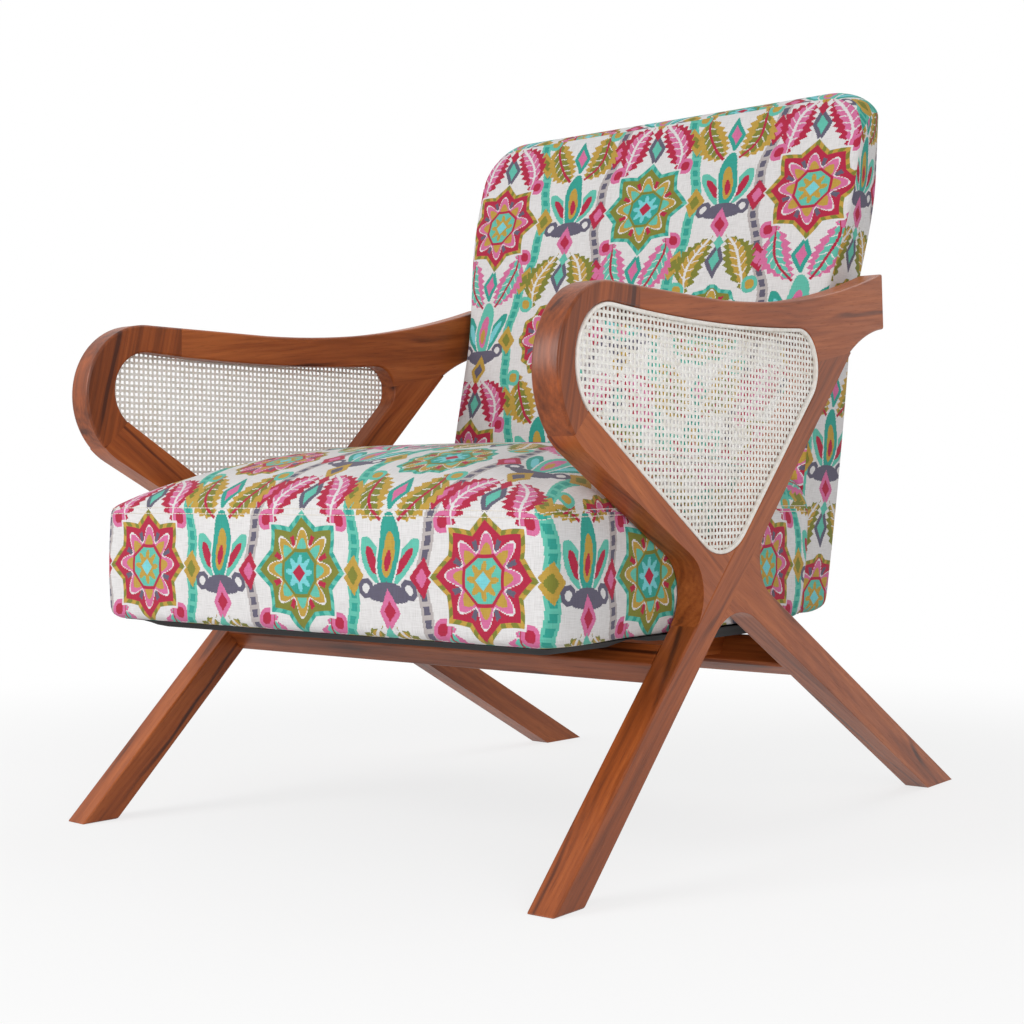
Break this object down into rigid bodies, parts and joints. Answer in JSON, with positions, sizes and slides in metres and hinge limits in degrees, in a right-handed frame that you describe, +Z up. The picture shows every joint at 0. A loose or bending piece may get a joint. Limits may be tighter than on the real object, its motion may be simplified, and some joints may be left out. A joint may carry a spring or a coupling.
{
  "type": "lounge chair",
  "caption": "Lounge chair with crossed wooden side frames, heart-shaped cane panels under curved arms, a thick upholstered seat and a tall reclined back.",
  "frame": {"origin": "on the floor, at the middle of the bounding box seen from above", "axes": "+Z up, the seat faces -Y, +X towards the arm that is nearer in the picture"},
  "size_m": [0.7, 0.9006, 0.87],
  "materials": {
    "teak": "oiled",
    "cane": "bleached, woven",
    "reed": "bleached",
    "beech": "raw",
    "softwood": "raw",
    "webbing": "woven",
    "foam": "open cell",
    "printed_cloth": "printed linen weave",
    "black_cloth": "matte",
    "steel": "zinc plated"
  },
  "bodies": {
    "root": {"back_cover": "printed_cloth", "back_front_foam": "foam", "back_low_bar": "softwood", "back_mid_bar": "softwood", "back_rear_foam": "foam", "back_top_bar": "softwood", "back_webbing": "webbing", "base_corner_blocks": "softwood", "base_cross_front": "softwood", "base_cross_rear": "softwood", "base_front_bar": "softwood", "base_left_bar": "softwood", "base_rear_bar": "softwood", "base_right_bar": "softwood", "bearer_screws": "steel", "dust_cover": "black_cloth", "front_rail": "teak", "left_arm_nose": "teak", "left_arm_rail": "teak", "left_back_post": "softwood", "left_bearer": "teak", "left_cane_panel": "cane", "left_cane_spline": "reed", "left_frame_dowels": "beech", "left_front_leg": "teak", "left_front_stile": "teak", "left_rear_leg": "teak", "post_screws": "steel", "rear_rail": "teak", "right_arm_nose": "teak", "right_arm_rail": "teak", "right_back_post": "softwood", "right_bearer": "teak", "right_cane_panel": "cane", "right_cane_spline": "reed", "right_frame_dowels": "beech", "right_front_leg": "teak", "right_front_stile": "teak", "right_rear_leg": "teak", "seat_cover": "printed_cloth", "seat_foam": "foam", "seat_webbing": "webbing"}
  },
  "joints": []
}
